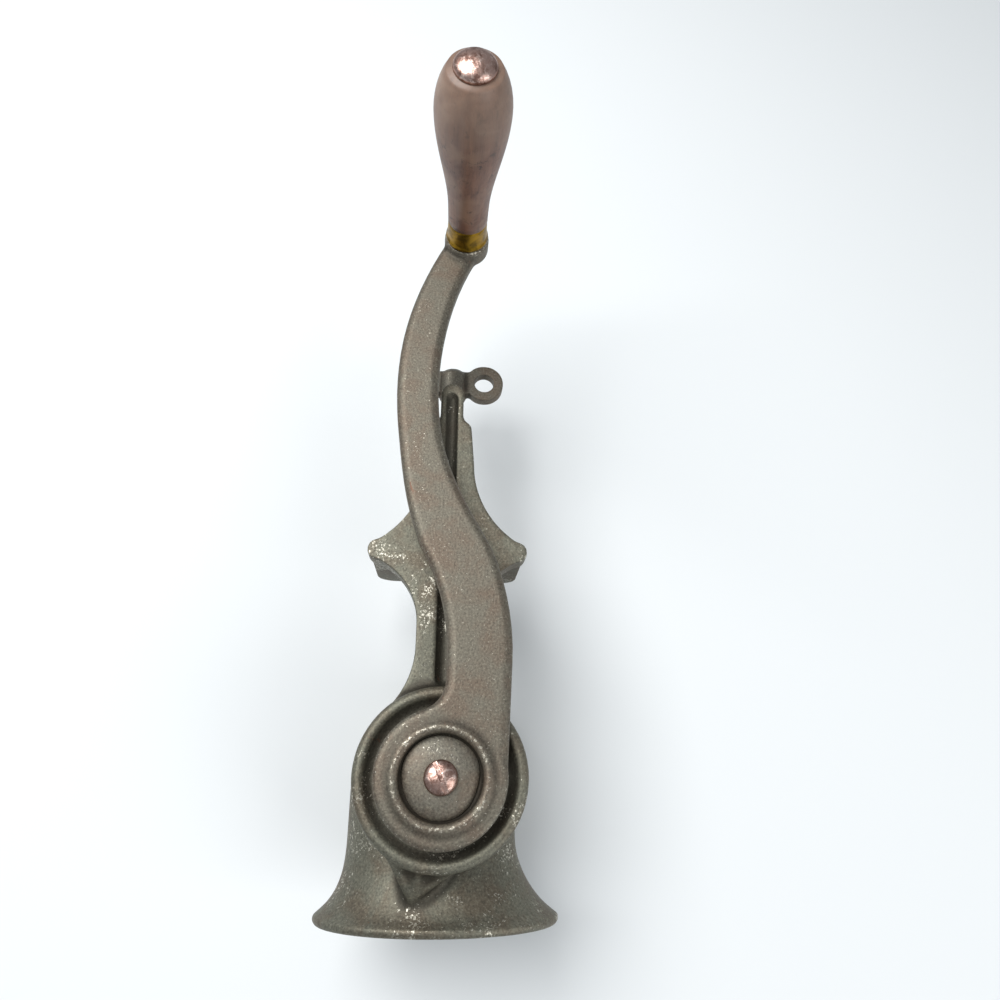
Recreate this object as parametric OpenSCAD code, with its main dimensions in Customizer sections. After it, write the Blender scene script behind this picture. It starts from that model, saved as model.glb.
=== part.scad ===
// Hand-cranked table-clamp meat grinder, old tinned cast iron
// Origin at the middle of the clamp seat, +Z up to the hopper, crank side towards -Y, sizes in mm

/* [Shaft line] */
// Height of the shaft axis above the clamp seat
axis_height = 81; // [74:1:95]
// Distance from the seat's middle forward to the barrel's front face
front_setback = 29.5; // [27:0.5:32]
// Radial clearance of a turning fit
running_gap = 0.05; // [0.03:0.01:0.1]
// Axial play between a turning face and a fixed one
face_play = 0.1; // [0.05:0.05:0.3]

/* [Barrel] */
// Diameter of the bore that the feed screw turns in
chamber_d = 40; // [36:0.5:42]
// Thickness of the barrel's wall
barrel_wall = 6; // [4:0.5:6.5]
// Length of the chamber from the front wall to the plate's seat
chamber_len = 56; // [54:1:64]
// Thickness of the front wall, which is the shaft's bearing
front_wall = 9.5; // [8:0.5:13]
// Diameter of the beaded front flange
flange_d = 57.2; // [56:0.2:62]
// Radius of the bead on the flange
bead_r = 2.2; // [1.5:0.1:2.4]
// Thickness of the flange at its rim
flange_rim = 5; // [3:0.5:6]
// Outer diameter of the thread that carries the ring nut
thread_d = 56; // [53:0.5:57]
// Length of that thread
thread_len = 12; // [10:0.5:16]

/* [Hopper] */
// Width of the mouth over its rolled rim
mouth_w = 84; // [76:1:92]
// Depth of the mouth, front to back
mouth_l = 60; // [56:1:62]
// Height of the rim above the shaft axis
mouth_height = 47; // [43:1:56]
// Distance of the mouth's middle behind the seat's middle
mouth_back = 3; // [1:0.5:5]
// Width of the neck that stands on the barrel
neck_w = 59; // [58:1:62]
// Depth of the neck, front to back
neck_l = 43; // [38:1:46]
// Sideways shift of the neck towards the side where the screw turns down
neck_shift = 2.5; // [0:0.5:3]
// Radius of the outward flare
flare_r = 26; // [22:1:40]
// Thickness of the hopper's wall
hopper_wall = 3; // [2:0.25:4]
// Radius of the rolled rim
rim_r = 2.1; // [1.6:0.1:2.6]

/* [Leg and clamp] */
// Distance from the seat's middle forward to the leg's face
leg_setback = 25; // [24:0.5:27]
// Thickness of the leg and the spine, front to back
leg_t = 9; // [8:0.5:10]
// Width of the leg at its waist
leg_w = 20.4; // [18:0.5:24]
// Radius of the fillets between the leg and the barrel
drum_fillet_r = 30; // [24:1:34]
// Radius of the fillets between the leg and the wings
wing_fillet_r = 25; // [20:1:26]
// Width over the two wings of the upper jaw
wings_w = 58; // [54:1:66]
// Thickness of the upper jaw
jaw_t = 5.6; // [4.5:0.2:7]
// Depth of the upper jaw behind the seat's middle
jaw_back = 19; // [17:1:24]
// Width of the spine below its flare
spine_w = 18; // [16:0.5:20]
// Radius of the flare between the wings and the spine
spine_flare_r = 36; // [30:1:40]
// Height from the seat down to the spine's shoulders
spine_len = 48; // [45:1:56]
// Width of the rib that runs on below the shoulders
tail_w = 8.8; // [7:0.2:11]
// Height from the seat down to the end of that rib
tail_len = 64; // [62:1:66]
// Width of the channel down the front of the leg
channel_w = 6.2; // [4:0.2:8]
// Depth of that channel
channel_depth = 3; // [1:0.25:4]
// Width of the narrow channel down the front of the spine
groove_w = 4.4; // [3:0.2:5]

/* [Clamp screw] */
// Diameter of the clamp screw's stem
stem_d = 9.4; // [8:0.2:10.4]
// Distance of the screw's axis behind the seat's middle
screw_back = 4; // [2:0.5:6]
// Diameter of the boss that the screw runs in
screw_boss_d = 17; // [15:0.5:17.5]
// Height of that boss
screw_boss_len = 14; // [10:0.5:16]
// Gap between the seat and the pad in the stored position
pad_gap = 6; // [5:0.5:9]
// Diameter of the pad
pad_d = 20; // [15:1:22]
// Thickness of the pad
pad_t = 5; // [4.5:0.5:7]
// Height from the seat down to the middle of the two eyes
eye_drop = 79; // [78:1:90]
// Distance between the middles of the two eyes
eye_span = 27; // [24:0.5:36]
// Outer diameter of an eye
eye_d = 16.4; // [13:0.2:17]
// Diameter of the hole in an eye
eye_hole_d = 8.4; // [6:0.2:9.6]
// Thickness of the screw's flat head
eye_t = 5; // [4:0.5:7]

/* [Crank] */
// Distance from the shaft to the handle
crank_throw = 202; // [196:1:204]
// Diameter of the crank's hub
hub_d = 42.8; // [38:0.2:43.2]
// Thickness of the crank's hub
hub_t = 8.5; // [8:0.25:10]
// Thickness of the crank's arm
arm_t = 6; // [5:0.25:6.5]
// Width of the arm where it leaves the hub
arm_root_w = 22; // [18:0.5:24]
// Width of the arm past the bend
arm_mid_w = 15.4; // [12:0.2:18]
// Width of the arm at the handle
arm_end_w = 13.6; // [11:0.2:15]
// Radius of the bend next to the hub
near_bend_r = 78; // [77:0.5:80]
// Radius of the bend next to the handle
far_bend_r = 131; // [129:0.5:134]
// Width of the bevel along the arm's edges
arm_bevel = 2.6; // [1:0.1:3.2]
// Diameter of the recess in the hub
recess_d = 26.8; // [24:0.2:28]
// Depth of that recess
recess_depth = 3; // [2:0.25:3.5]
// Diameter of the handle boss
boss_d = 17.6; // [16:0.2:21]
// Height that the boss stands out in front of the arm
boss_rise = 2.5; // [1:0.25:5]
// Height that the flange's bead stands out in front of the barrel's face
bead_rise = 2.7; // [1.5:0.1:2.8]

/* [Shaft and feed screw] */
// Diameter of the shaft's journal
journal_d = 14; // [12.5:0.5:16]
// Width across the flats of the square drive
drive_sq = 9; // [8:0.2:9.6]
// Diameter of the feed screw's core
core_d = 17; // [14:0.5:20]
// Radial clearance between the flight and the chamber
flight_gap = 0.4; // [0.3:0.05:0.8]
// Number of turns of the flight
flight_turns = 2.5; // [2:0.25:3]
// Thickness of the flight at its edge
flight_t = 3; // [2:0.25:4.5]
// Thickness of the thrust washer
washer_t = 0.9; // [0.5:0.1:1.2]

/* [Knife and plate] */
// Thickness of the knife
knife_t = 4.5; // [3.5:0.25:6]
// Width across the flats of the knife's square
knife_sq = 8; // [7:0.2:9]
// Thickness of the perforated plate
plate_t = 6; // [5:0.25:8]
// Diameter of the perforated plate
plate_d = 48.4; // [47:0.2:49]
// Diameter of a hole in the plate
plate_hole_d = 3.6; // [3:0.2:4.2]
// Outer diameter of the ring nut
nut_d = 66; // [64:1:72]
// Thickness of the ring nut's lip
nut_lip = 3.5; // [2.5:0.25:5]
// Number of flutes round the ring nut
nut_flutes = 16; // [10:1:18]

/* [Handle] */
// Length of the wooden grip with its ferrule
grip_len = 76; // [70:1:90]
// Largest diameter of the grip
grip_d = 25.6; // [22:0.2:29]
// Diameter of the grip's waist
waist_d = 15.4; // [14:0.2:17]
// Length of the ferrule
ferrule_len = 10; // [7:0.5:14]
// Diameter of the ferrule at the crank end
ferrule_d = 15.6; // [15.2:0.2:17]
// Thickness of the ferrule's wall
ferrule_wall = 0.8; // [0.5:0.1:1.2]
// Diameter of the spindle in the grip
spindle_d = 6; // [5:0.25:7]
// Diameter of the spindle's domed head
head_d = 14; // [10:0.5:15]

/* [Hidden] */
$fn = 96;
tiny = 0.01;

tinned_iron = "#7d786c";
worn_iron = "#6f6a5f";
bright_steel = "#a8a39a";
pink_steel = "#b09389";
old_brass = "#8c7433";
old_wood = "#5f3f2d";

// Stations along the shaft, front to back
face_y = -front_setback;
hub_back_y = face_y - washer_t - face_play;
hub_front_y = hub_back_y - hub_t;
arm_back_y = hub_front_y + arm_t;
recess_y = hub_front_y + recess_depth;
chamber_y = face_y + front_wall;
plate_y = chamber_y + chamber_len;
barrel_end_y = plate_y + plate_t - 0.5;
knife_y = plate_y - face_play - knife_t;
nut_end_y = plate_y + plate_t + nut_lip;
bead_mid_y = face_y - bead_rise + bead_r;
barrel_r = chamber_d / 2 + barrel_wall;
flange_r = flange_d / 2;
hub_r = hub_d / 2;
// The barrel ends and the hopper begins at one flat joint, and the leg begins at another
neck_joint = axis_height + flange_r + 0.6;
leg_joint = axis_height - flange_r - 0.6;

// Lays a shape drawn about Z along the shaft, front to back
module along_shaft(y = 0) {
    translate([0, y, axis_height])
        rotate([-90, 0, 0])
            children();
}

// Stands a front view, drawn in x and height, at y and gives it a depth
module front_view(y, depth) {
    translate([0, y + depth, 0])
        rotate([90, 0, 0])
            linear_extrude(depth)
                children();
}

// Stands a side view, drawn in y and height, across the middle
module side_view(width) {
    translate([-width / 2, 0, 0])
        rotate([90, 0, 90])
            linear_extrude(width)
                children();
}

// Faces of a closed ring of m loops with n points each
function ring_faces(m, n) = [
    for (i = [0:m - 1], j = [0:n - 1], k = [0, 1])
        let (a = i * n + j, b = i * n + (j + 1) % n,
            c = ((i + 1) % m) * n + (j + 1) % n, d = ((i + 1) % m) * n + j)
        k == 0 ? [a, b, c] : [a, c, d]];

// Faces of a solid made of m slices with n points each, closed by its two end slices
function slice_faces(m, n) = concat(
    [for (i = [0:m - 2], j = [0:n - 1], k = [0, 1])
        let (a = i * n + j, b = i * n + (j + 1) % n,
            c = (i + 1) * n + (j + 1) % n, d = (i + 1) * n + j)
        k == 0 ? [a, b, c] : [a, c, d]],
    [[for (j = [n - 1:-1:0]) j]],
    [[for (j = [0:n - 1]) (m - 1) * n + j]]);

function mix(a, b, t) = a + (b - a) * t;
function smooth(t) = let (u = min(1, max(0, t))) u * u * (3 - 2 * u);

// Hopper: an oval profile that flares on an arc from the neck to a rolled rim
hopper_sides = 48;
neck_top = axis_height + 20;
rim_z = axis_height + mouth_height;
flare_h = rim_z - 2 * rim_r - neck_top;
flare_out = flare_r - sqrt(max(flare_r * flare_r - flare_h * flare_h, 1));

// Share of the flare, 0 at the neck and 1 under the rim
function flare(z) = z <= neck_top ? 0 :
    (flare_r - sqrt(max(flare_r * flare_r - pow(z - neck_top, 2), 1))) / flare_out;

// One oval loop at height z, its wall inset by w, its share of the flare f. Loops run clockwise
// seen from the slice that follows, as the faces of every swept solid here need
function oval(f, w, z, x0) = [
    for (i = [0:hopper_sides - 1])
        let (t = 360 * i / hopper_sides,
            a = mix(neck_w / 2, mouth_w / 2 - rim_r, f) - w,
            b = mix(neck_l / 2, mouth_l / 2 - rim_r, f) - w)
        [x0 + a * cos(t), mouth_back - b * sin(t), z]];

function neck_x(z) = neck_shift * (1 - smooth((z - neck_top) / (rim_z - neck_top)));

// The rim is a round bead whose middle lies on the wall's line
rim_mid = rim_z - rim_r;
flare_steps = 7;
rim_steps = 8;
function hopper_loops() = concat(
    [for (i = [0:flare_steps])
        let (z = mix(neck_joint, rim_mid - rim_r, i / flare_steps))
        oval(flare(z), 0, z, neck_x(z))],
    [for (i = [1:rim_steps])
        let (t = -45 + 225 * i / rim_steps)
        oval(1, -rim_r * cos(t), rim_mid + rim_r * sin(t), 0)],
    [for (i = [flare_steps:-1:0])
        let (z = mix(neck_joint, rim_mid - rim_r, i / flare_steps))
        oval(flare(z), hopper_wall, z, neck_x(z))]);

module gusset_ridge(from, to, r0, r1) {
    hull() {
        translate(from)
            sphere(r0, $fn = 20);
        translate(to)
            sphere(r1, $fn = 20);
    }
}

// V-shaped gusset from the flange's bead up the hopper's front wall
gusset_tip = [8, mouth_back - neck_l / 2 - 3, axis_height + 36];
module gusset() {
    bead_y = face_y + 0.7;
    wall_y = mouth_back - neck_l / 2 + 1.5;
    gusset_ridge([14.2, bead_y, axis_height + 22.4], gusset_tip, 2.4, 1.6);
    gusset_ridge([-6, bead_y, axis_height + 25.2], gusset_tip, 1.9, 1.4);
    gusset_ridge([5.2, bead_y + 0.4, axis_height + 25.6], gusset_tip, 1.9, 1.4);
    hull() {
        for (p = [[13.4, bead_y + 2.6, axis_height + 22], [-5, bead_y + 2.6, axis_height + 25],
            [8, gusset_tip[1] + 2, axis_height + 34], [10, wall_y, axis_height + 22],
            [-3, wall_y, axis_height + 24], [8, wall_y, axis_height + 38]])
            translate(p)
                sphere(1.4, $fn = 16);
    }
}

module below(z) {
    intersection() {
        children();
        translate([-150, -150, z - 300])
            cube(300);
    }
}

module above(z) {
    intersection() {
        children();
        translate([-150, -150, z])
            cube(300);
    }
}

module hopper_inside() {
    loops = concat(
        [for (z = [neck_joint - 1, neck_joint, mix(neck_joint, rim_z, 0.5), rim_mid - rim_r])
            oval(flare(z), hopper_wall - tiny, z, neck_x(z))],
        [oval(1, hopper_wall - 1, rim_z + 1, 0)]);
    polyhedron([for (l = loops) each l], slice_faces(len(loops), hopper_sides));
}

module hopper() {
    color(tinned_iron)
        union() {
            polyhedron([for (l = hopper_loops()) each l],
                ring_faces(2 * flare_steps + rim_steps + 2, hopper_sides));
            difference() {
                above(neck_joint)
                    gusset();
                hopper_inside();
            }
        }
}

// Barrel: outer profile as radius and station, turned about the shaft
module barrel_skin() {
    along_shaft()
        rotate_extrude()
            union() {
                polygon([[0, face_y], [flange_r, face_y], [flange_r, face_y + flange_rim],
                    [barrel_r, face_y + flange_rim + 4], [barrel_r, barrel_end_y - thread_len - 2],
                    [thread_d / 2, barrel_end_y - thread_len], [thread_d / 2, barrel_end_y - 1],
                    [thread_d / 2 - 1, barrel_end_y], [0, barrel_end_y]]);
                translate([flange_r - 2 * bead_r, bead_mid_y])
                    square([2 * bead_r, face_y - bead_mid_y + tiny]);
                translate([flange_r - bead_r, bead_mid_y])
                    circle(bead_r);
            }
}

// The oval neck, drawn in below into the barrel's flanks
module neck_skin() {
    steps = [[-16, 0.55], [-14, 0.69], [-11, 0.8], [-7, 0.89], [-2, 0.96], [4, 1]];
    loops = concat(
        [for (s = steps) oval(0, neck_w / 2 * (1 - s[1]), axis_height + s[0], neck_shift)],
        [oval(0, 0, neck_top, neck_x(neck_top))],
        [for (i = [1:3])
            let (z = mix(neck_top, neck_joint, i / 3))
            oval(flare(z), 0, z, neck_x(z))]);
    polyhedron([for (l = loops) each l], slice_faces(len(loops), hopper_sides));
}

// The throat narrows from the hopper's wall to the chamber
throat_w = 33;
module throat() {
    low = [for (i = [0:hopper_sides - 1])
        let (t = 360 * i / hopper_sides)
        [throat_w / 2 * cos(t) + 1, mouth_back - (neck_l / 2 - hopper_wall - 1.5) * sin(t), axis_height + 4]];
    loops = [low,
        oval(0, hopper_wall + 1.5, axis_height + 17, neck_shift),
        oval(flare(neck_joint), hopper_wall, neck_joint, neck_x(neck_joint)),
        oval(flare(neck_joint), hopper_wall, neck_joint + 1, neck_x(neck_joint))];
    polyhedron([for (l = loops) each l], slice_faces(len(loops), hopper_sides));
}

key_orbit = (chamber_d / 2 + plate_d / 2) / 2 + 0.1;
key_d = 3;

module barrel() {
    color(tinned_iron)
        difference() {
            union() {
                barrel_skin();
                neck_skin();
                below(neck_joint)
                    gusset();
                difference() {
                    above(leg_joint)
                        leg_body();
                    translate([-150, -150, axis_height])
                        cube(300);
                }
            }
            along_shaft(face_y - 10)
                cylinder(h = front_wall + 20, d = journal_d + 2 * running_gap);
            along_shaft(chamber_y)
                cylinder(h = chamber_len + 20, d = chamber_d);
            along_shaft(plate_y)
                cylinder(h = 20, d = plate_d + 0.4);
            along_shaft(plate_y - 4)
                translate([0, key_orbit, 0])
                    cylinder(h = 5, d = key_d + 0.04);
            throat();
            // The hub turns in the space inside the bead
            along_shaft(face_y - 12)
                cylinder(h = 12, r = flange_r - 2 * bead_r);
        }
}

// Leg: front outline with round fillets to the barrel above and the wings below
leg_half = leg_w / 2;
drum_fillet_x = leg_half + drum_fillet_r;
drum_fillet_z = axis_height - sqrt(pow(flange_r + drum_fillet_r, 2) - pow(drum_fillet_x, 2));
drum_touch_x = drum_fillet_x * flange_r / (flange_r + drum_fillet_r);
wing_fillet_z = jaw_t + wing_fillet_r;
wing_half = wings_w / 2;
spine_half = spine_w / 2;
function wing_top(x) = wing_fillet_z
    - sqrt(pow(wing_fillet_r, 2) - pow(leg_half + wing_fillet_r - x, 2));
// The wing tips are round, with a radius of half the wing's height there
tip_guess = wing_top(wing_half - jaw_t * 0.7) / 2;
tip_r = wing_top(wing_half - tip_guess) / 2;
// The spine's flare ends at the seat's level where the tips begin
spine_flare_z = -sqrt(pow(spine_flare_r, 2) - pow(spine_half + spine_flare_r - wing_half + tip_r, 2));
shoulder_r = 3.5;
shoulder_half = spine_half - 1.2;

module leg_outline() {
    // From the waist up to the barrel
    difference() {
        translate([-drum_touch_x, drum_fillet_z])
            square([2 * drum_touch_x, axis_height - drum_fillet_z]);
        for (s = [-1, 1])
            translate([s * drum_fillet_x, drum_fillet_z])
                circle(drum_fillet_r);
    }
    // From the waist down to the wings
    difference() {
        translate([-wing_half + tip_r, 0])
            square([wings_w - 2 * tip_r, drum_fillet_z + tiny]);
        for (s = [-1, 1])
            translate([s * (leg_half + wing_fillet_r), wing_fillet_z])
                circle(wing_fillet_r);
        for (s = [-1, 1])
            translate([s * (leg_half + 50) - 50, wing_fillet_z])
                square([100, 200]);
    }
    for (s = [-1, 1])
        translate([s * (wing_half - tip_r), tip_r])
            circle(tip_r);
}

module spine_outline() {
    // Flare from the wings down to the spine
    difference() {
        translate([-wing_half + tip_r, spine_flare_z])
            square([wings_w - 2 * tip_r, jaw_t - spine_flare_z]);
        for (s = [-1, 1])
            translate([s * (spine_half + spine_flare_r), spine_flare_z])
                circle(spine_flare_r);
    }
    // Taper down to round shoulders
    polygon([[-spine_half, spine_flare_z + tiny], [spine_half, spine_flare_z + tiny],
        [shoulder_half, shoulder_r - spine_len], [-shoulder_half, shoulder_r - spine_len]]);
    for (s = [-1, 1])
        translate([s * (shoulder_half - shoulder_r), shoulder_r - spine_len])
            circle(shoulder_r);
    translate([shoulder_r - shoulder_half, -spine_len])
        square([2 * (shoulder_half - shoulder_r), shoulder_r + tiny]);
    // Rib below the shoulders
    translate([-tail_w / 2, tail_w / 2 - tail_len])
        square([tail_w, tail_len - spine_len]);
    translate([0, tail_w / 2 - tail_len])
        circle(tail_w / 2);
}

leg_y = -leg_setback;
web_w = 8;
web_back = 12;

// Leg with its channel and the web behind it, up into the barrel
module leg_body() {
    difference() {
        union() {
            front_view(leg_y, leg_t)
                leg_outline();
            side_view(web_w)
                difference() {
                    translate([leg_y + leg_t - tiny, jaw_t - tiny])
                        square([web_back - leg_y - leg_t, axis_height - jaw_t]);
                    translate([web_back + 12, (axis_height - barrel_r + jaw_t) / 2 + 1])
                        circle((axis_height - barrel_r - jaw_t) / 2 + 3);
                }
        }
        front_view(leg_y - 1, channel_depth + 1) {
            translate([-channel_w / 2, wing_fillet_z - 16])
                square([channel_w, leg_joint - wing_fillet_z + 13]);
            for (z = [wing_fillet_z - 16, leg_joint - 3])
                translate([0, z])
                    circle(channel_w / 2);
        }
    }
}

// Plan of the upper jaw, with round back corners
jaw_corner = 8;
module jaw_plan() {
    half = wing_half;
    translate([-half + 1, leg_y + 3])
        square([2 * half - 2, jaw_back - leg_y - 3 - jaw_corner]);
    translate([-half + 1 + jaw_corner, leg_y + 3])
        square([2 * (half - 1 - jaw_corner), jaw_back - leg_y - 3]);
    for (s = [-1, 1])
        translate([s * (half - 1 - jaw_corner), jaw_back - jaw_corner])
            circle(jaw_corner);
}

spine_back_y = leg_y + leg_t;
boss_bottom = -spine_len - 8;
boss_top = boss_bottom + screw_boss_len;

module clamp_frame() {
    color(tinned_iron)
        difference() {
            union() {
                below(leg_joint)
                    leg_body();
                front_view(leg_y, leg_t)
                    spine_outline();
                linear_extrude(jaw_t)
                    jaw_plan();
                // Lower arm, a web from the spine back to the boss
                side_view(tail_w)
                    polygon([[leg_y + 4, boss_top + 5], [spine_back_y, boss_top + 5],
                        [spine_back_y + 4, boss_top], [screw_back, boss_top],
                        [screw_back, boss_bottom], [spine_back_y, 3 - tail_len],
                        [leg_y + 4, 3 - tail_len]]);
                translate([0, screw_back, boss_bottom])
                    cylinder(h = screw_boss_len, d = screw_boss_d);
            }
            translate([0, screw_back, boss_bottom - 5])
                cylinder(h = screw_boss_len + 10, d = stem_d + 2 * running_gap);
            front_view(leg_y - 1, channel_depth) {
                translate([-groove_w / 2, 4 + groove_w / 2 - tail_len])
                    square([groove_w, tail_len - 12]);
                for (z = [4 + groove_w / 2 - tail_len, groove_w / 2 - 8])
                    translate([0, z])
                        circle(groove_w / 2);
            }
        }
}

module thrust_washer() {
    color(bright_steel)
        along_shaft(face_y - washer_t)
            difference() {
                cylinder(h = washer_t, d = journal_d + 10);
                translate([0, 0, -1])
                    cylinder(h = washer_t + 2, d = journal_d + 0.4);
            }
}

// Feed screw: a tapered flight wound round the core from the front wall to the knife
flight_r = chamber_d / 2 - flight_gap;
flight_step = 15;
flight_start = chamber_y + flight_t + 1.2;
flight_end = knife_y - flight_t - 0.8;
flight_count = round(flight_turns * 360 / flight_step);

// The pitch shortens towards the knife
function flight_y(t) = mix(flight_start, flight_end, t * (1.25 - 0.25 * t));
function flight_edge(t) = mix(core_d / 2 + 1, flight_r, smooth(t * flight_turns * 3));

module flight() {
    root = core_d / 2 - 1;
    slices = [for (i = [0:flight_count])
        let (t = i / flight_count, a = i * flight_step, y = flight_y(t), edge = flight_edge(t))
        [for (p = [[root, -flight_t], [edge, -flight_t / 2], [edge, flight_t / 2], [root, flight_t]])
            [p[0] * cos(a), p[0] * sin(a), y + p[1]]]];
    polyhedron([for (s = slices) each s], slice_faces(flight_count + 1, 4));
}

drive_end_y = recess_y + 0.5;
module feed_screw() {
    color(worn_iron)
        difference() {
            union() {
                along_shaft()
                    rotate_extrude()
                        polygon([[0, hub_back_y], [journal_d / 2, hub_back_y],
                            [journal_d / 2, chamber_y + face_play],
                            [core_d / 2 + 2, chamber_y + face_play], [core_d / 2 + 2, chamber_y + 2],
                            [core_d / 2, chamber_y + 4], [core_d / 2, knife_y], [0, knife_y]]);
                along_shaft(drive_end_y)
                    translate([-drive_sq / 2, -drive_sq / 2, 0])
                        cube([drive_sq, drive_sq, hub_back_y - drive_end_y + 1]);
                along_shaft()
                    flight();
            }
            along_shaft(drive_end_y - 1)
                cylinder(h = screw_len + 2, d = screw_d + 0.1);
            along_shaft(knife_y - stud_depth - 1)
                cylinder(h = stud_depth + 2, d = stud_d + 0.1);
        }
}

// Stud: threaded into the feed screw, square for the knife, round in the plate
stud_d = 8;
stud_depth = 12;
stud_tip_d = 8;
module knife_stud() {
    color(bright_steel)
        along_shaft() {
            translate([0, 0, knife_y - stud_depth])
                cylinder(h = stud_depth + tiny, d = stud_d);
            translate([-knife_sq / 2, -knife_sq / 2, knife_y])
                cube([knife_sq, knife_sq, knife_t]);
            translate([0, 0, knife_y + knife_t - tiny])
                cylinder(h = plate_t + face_play, d = stud_tip_d);
        }
}

// Knife: four swept blades with flat cutting faces against the plate
knife_r = chamber_d / 2 - 0.8;
module knife_blade() {
    polygon([[-3, 4], [4.5, 4], [4.2, 9], [3.2, 14], [1, knife_r - 0.6], [-3.4, knife_r - 1.2],
        [-3.6, 14], [-4.5, 9]]);
}

module cutter_knife() {
    color(bright_steel)
        along_shaft(knife_y)
            difference() {
                union() {
                    cylinder(h = knife_t, r = 8.5);
                    for (a = [0:90:270])
                        rotate(a)
                            difference() {
                                linear_extrude(knife_t)
                                    knife_blade();
                                // Each blade slopes away from its cutting edge
                                translate([-3.5, 10, -1.2])
                                    rotate([0, 24, 0])
                                        translate([-5, -2, -3])
                                            cube([8, 14, 4.4]);
                            }
                }
                translate([-knife_sq / 2 - 0.05, -knife_sq / 2 - 0.05, -1])
                    cube([knife_sq + 0.1, knife_sq + 0.1, knife_t + 2]);
            }
}

// Plate: rings of holes inside the chamber's bore, each ring spaced evenly
hole_web = 1;
inner_ring_r = 8;
outer_ring_r = chamber_d / 2 - plate_hole_d / 2 - 0.8;
ring_gaps = floor((outer_ring_r - inner_ring_r) / (plate_hole_d + hole_web));
hole_rings = [for (i = [0:ring_gaps])
    let (r = mix(inner_ring_r, outer_ring_r, i / ring_gaps))
    [r, floor(2 * PI * r / (plate_hole_d + hole_web))]];
module grinding_plate() {
    color(bright_steel)
        along_shaft(plate_y)
            difference() {
                cylinder(h = plate_t, d = plate_d);
                translate([0, 0, -1])
                    cylinder(h = plate_t + 2, d = stud_tip_d + 2 * running_gap);
                for (ring = hole_rings, i = [0:ring[1] - 1])
                    rotate(360 * (i + 0.5) / ring[1])
                        translate([0, ring[0], -1])
                            cylinder(h = plate_t + 2, d = plate_hole_d, $fn = 24);
                // Notch for the key
                translate([-key_d / 2 - 0.3, key_orbit, -1])
                    cube([key_d + 0.6, 10, plate_t + 2]);
                translate([0, key_orbit, -1])
                    cylinder(h = plate_t + 2, d = key_d + 0.6);
            }
}

module plate_key() {
    color(bright_steel)
        along_shaft(plate_y - 4)
            translate([0, key_orbit, 0])
                cylinder(h = 4 + plate_t - 1.5, d = key_d);
}

nut_front_y = barrel_end_y - thread_len - 0.5;
module ring_nut() {
    color(tinned_iron)
        along_shaft()
            difference() {
                rotate_extrude()
                    polygon([[thread_d / 2 + 0.3, nut_front_y], [nut_d / 2 - 1, nut_front_y],
                        [nut_d / 2, nut_front_y + 1], [nut_d / 2, nut_end_y - 4],
                        [nut_d / 2 - 4, nut_end_y], [chamber_d / 2 + 1, nut_end_y],
                        [chamber_d / 2 + 1, plate_y + plate_t], [thread_d / 2 + 0.3, plate_y + plate_t]]);
                for (i = [0:nut_flutes - 1])
                    rotate(360 * i / nut_flutes)
                        translate([nut_d / 2 + 1.6, 0, nut_front_y - 1])
                            cylinder(h = nut_end_y - nut_front_y + 2, r = 3);
            }
}

// Crank: the arm's middle line is two arcs that meet where it crosses over
near_apex_drop = 39;
near_apex_x = -11.7;
far_apex_drop = 138;
far_apex_x = 13;
near_cx = near_apex_x + near_bend_r;
far_cx = far_apex_x - far_bend_r;
cross_t = far_bend_r / (near_bend_r + far_bend_r);
cross_drop = mix(far_apex_drop, near_apex_drop, cross_t);

function arm_mid(d) = d < cross_drop ?
    near_cx - sqrt(near_bend_r * near_bend_r - pow(d - near_apex_drop, 2)) :
    far_cx + sqrt(far_bend_r * far_bend_r - pow(d - far_apex_drop, 2));
function arm_slope(d) = d < cross_drop ?
    asin((d - near_apex_drop) / near_bend_r) : asin((d - far_apex_drop) / far_bend_r);
function arm_width(d) = mix(mix(arm_root_w, arm_mid_w, smooth((d - 70) / 50)), arm_end_w,
    smooth((d - 150) / 50));

// A fillet on one side touches both the arm's edge and the hub. The other edge runs on into the hub
root_fillet_r = 10;
root_edge_x = near_apex_x + arm_root_w / 2;
root_fillet_drop = sqrt(pow(hub_r + root_fillet_r, 2) - pow(root_edge_x + root_fillet_r, 2));
root_touch_drop = root_fillet_drop * hub_r / (hub_r + root_fillet_r);
hub_overlap = 0.3;
handle_x = arm_mid(crank_throw);

function root_flare(d) = d >= root_fillet_drop ? 0 :
    root_fillet_r - sqrt(pow(root_fillet_r, 2) - pow(root_fillet_drop - max(d, root_touch_drop), 2));
function arm_half(d) = arm_width(d) / 2 / cos(arm_slope(max(d, near_apex_drop)));
function arm_left(d) = arm_mid(max(d, near_apex_drop)) + arm_half(d) + root_flare(d);
function arm_right(d) = arm_mid(max(d, near_apex_drop)) - arm_half(d)
    + max(0, 1 - d / near_apex_drop) * (arm_root_w / 2 - near_apex_x - hub_r + hub_overlap);

module crank_blade() {
    drops = concat([0, root_touch_drop / 2],
        [for (i = [0:6]) mix(root_touch_drop, root_fillet_drop, i / 6)],
        [for (i = [1:30]) mix(root_fillet_drop, crank_throw, i / 30)]);
    rise = arm_bevel * 0.7;
    slices = [for (d = drops)
        let (l = arm_left(d), r = arm_right(d), z = axis_height - d)
        [[l - 0.8, arm_back_y, z], [r + 0.8, arm_back_y, z], [r, arm_back_y - 0.6, z],
            [r, hub_front_y + rise, z], [r + arm_bevel * 0.35, hub_front_y + rise * 0.4, z],
            [r + arm_bevel, hub_front_y, z], [l - arm_bevel, hub_front_y, z],
            [l - arm_bevel * 0.35, hub_front_y + rise * 0.4, z], [l, hub_front_y + rise, z],
            [l, arm_back_y - 0.6, z]]];
    polyhedron([for (s = slices) each s], slice_faces(len(slices), 10));
}

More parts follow.
